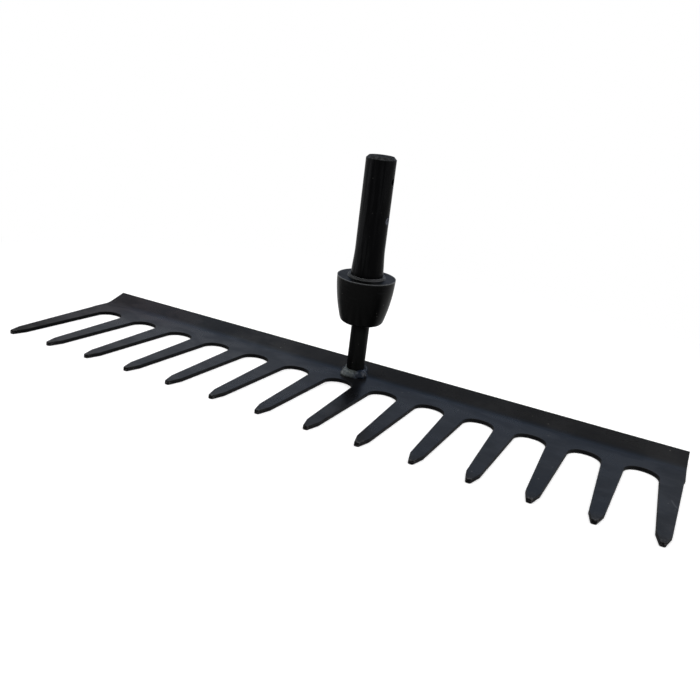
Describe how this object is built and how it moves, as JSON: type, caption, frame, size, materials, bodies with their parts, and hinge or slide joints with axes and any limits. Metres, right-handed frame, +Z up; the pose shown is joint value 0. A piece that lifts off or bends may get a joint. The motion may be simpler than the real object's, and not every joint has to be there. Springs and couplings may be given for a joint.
{
  "type": "garden rake head",
  "caption": "Wide flat rake head with a row of long tapered teeth, a turned-up back lip, and a welded upright tang whose pin takes a handle down to a cup-shaped collar.",
  "frame": {"origin": "middle of the footprint, on the ground under the teeth", "axes": "+X along the row of teeth, -Y towards the tooth tips and +Y towards the turned-up back lip, +Z up the tang"},
  "size_m": [0.4, 0.1099, 0.1383],
  "materials": {
    "blade_coat": "satin powder coat, worn at the tooth tips",
    "tang_coat": "satin powder coat, thin and streaked along the pin",
    "collar_plastic": "smooth moulded plastic with a faint sheen",
    "weld": "lumpy weld under a glossy coat"
  },
  "bodies": {
    "root": {"rake_blade": "blade_coat", "tang": "tang_coat", "collar": "collar_plastic", "weld_bead": "weld"}
  },
  "joints": []
}
